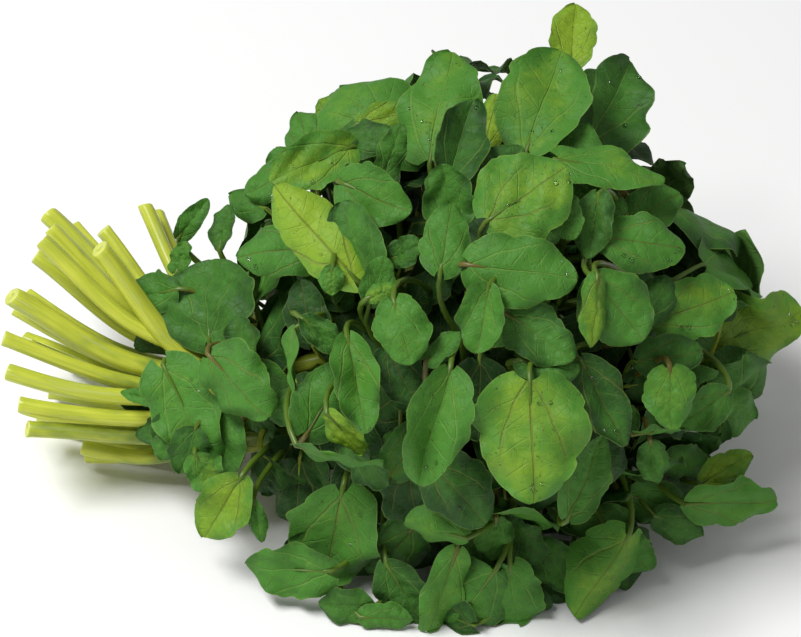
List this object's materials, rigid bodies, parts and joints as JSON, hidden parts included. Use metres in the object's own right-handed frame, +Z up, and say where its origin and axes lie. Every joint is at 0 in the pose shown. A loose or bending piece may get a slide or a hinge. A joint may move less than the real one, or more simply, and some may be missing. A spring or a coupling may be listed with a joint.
{
  "type": "watercress bunch",
  "caption": "Tied bunch of watercress lying on its side: cut stems fan out at one end and a dense head of round leaves spreads at the other.",
  "frame": {"origin": "centre of the bunch's footprint, on the surface it lies on", "axes": "+X from the cut ends to the leafy tips, +Z up, -Y towards the side that shows best"},
  "size_m": [0.21, 0.1656, 0.1196],
  "materials": {
    "cress": "soft satin leaf green, paler yellow-green on the stems",
    "leaf_upper": "waxy satin green with pale veins",
    "leaf_under": "matt paler green with raised veins",
    "stem": "smooth juicy yellow-green",
    "cut_end": "moist pale green pith",
    "water": "small clear droplets",
    "band": "matt plain tan rubber"
  },
  "bodies": {
    "root": {"sprig_01": "cress", "sprig_02": "cress", "sprig_03": "cress", "sprig_04": "cress", "sprig_05": "cress", "sprig_06": "cress", "sprig_07": "cress", "sprig_08": "cress", "sprig_09": "cress", "sprig_10": "cress", "sprig_11": "cress", "sprig_12": "cress", "sprig_13": "cress", "sprig_14": "cress", "sprig_15": "cress", "sprig_16": "cress", "sprig_17": "cress", "sprig_18": "cress", "sprig_19": "cress", "sprig_20": "cress", "sprig_21": "cress", "sprig_22": "cress", "sprig_23": "cress", "sprig_24": "cress", "sprig_25": "cress", "sprig_26": "cress", "sprig_27": "cress", "sprig_28": "cress", "sprig_29": "cress", "sprig_30": "cress", "tie_band": "band"}
  },
  "joints": []
}
